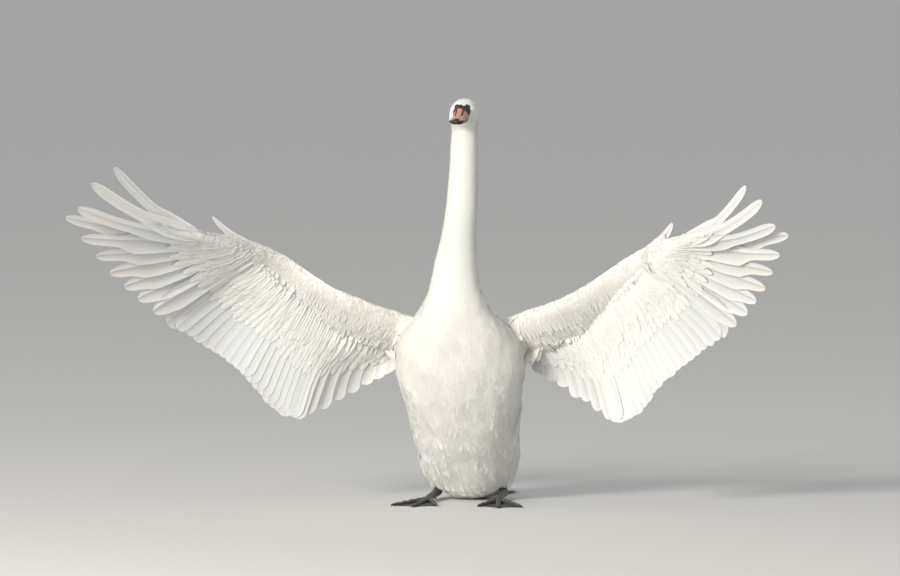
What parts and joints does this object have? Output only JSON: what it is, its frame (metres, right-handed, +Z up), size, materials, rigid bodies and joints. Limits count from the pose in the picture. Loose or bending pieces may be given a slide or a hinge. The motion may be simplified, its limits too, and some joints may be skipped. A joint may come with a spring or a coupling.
{
  "type": "mute swan",
  "caption": "Life-size mute swan as a still model, sitting reared up on its belly with wings spread and cupped forward, neck upright.",
  "frame": {"origin": "on the floor, at the middle of the flat of the belly that the bird sits on", "axes": "+Z up, -Y the way the bird faces, +X to the bird's left, along the span of the wings"},
  "size_m": [1.7772, 1.0843, 1.0124],
  "materials": {
    "plumage": "soft white body feathers",
    "vane": "smooth white feather vanes",
    "bill": "satin, salmon orange",
    "black": "satin, black",
    "eye": "wet gloss, dark brown",
    "leg": "matte, blackish grey, scaled"
  },
  "bodies": {
    "root": {"alula_left": "vane", "alula_right": "vane", "bill_knob": "black", "bill_lower": "black", "bill_nail": "black", "bill_upper": "bill", "eye_left": "eye", "eye_right": "eye", "foot_left": "leg", "foot_right": "leg", "forearm_left": "plumage", "forearm_right": "plumage", "hand_left": "plumage", "hand_right": "plumage", "head": "plumage", "neck_lower": "plumage", "neck_middle": "plumage", "neck_upper": "plumage", "primaries_left": "vane", "primaries_right": "vane", "secondaries_inner_left": "vane", "secondaries_inner_right": "vane", "secondaries_outer_left": "vane", "secondaries_outer_right": "vane", "tail": "vane", "tarsus_left": "leg", "tarsus_right": "leg", "tertials_left": "vane", "tertials_right": "vane", "thigh_left": "plumage", "thigh_right": "plumage", "trunk": "plumage", "upper_arm_left": "plumage", "upper_arm_right": "plumage"}
  },
  "joints": []
}
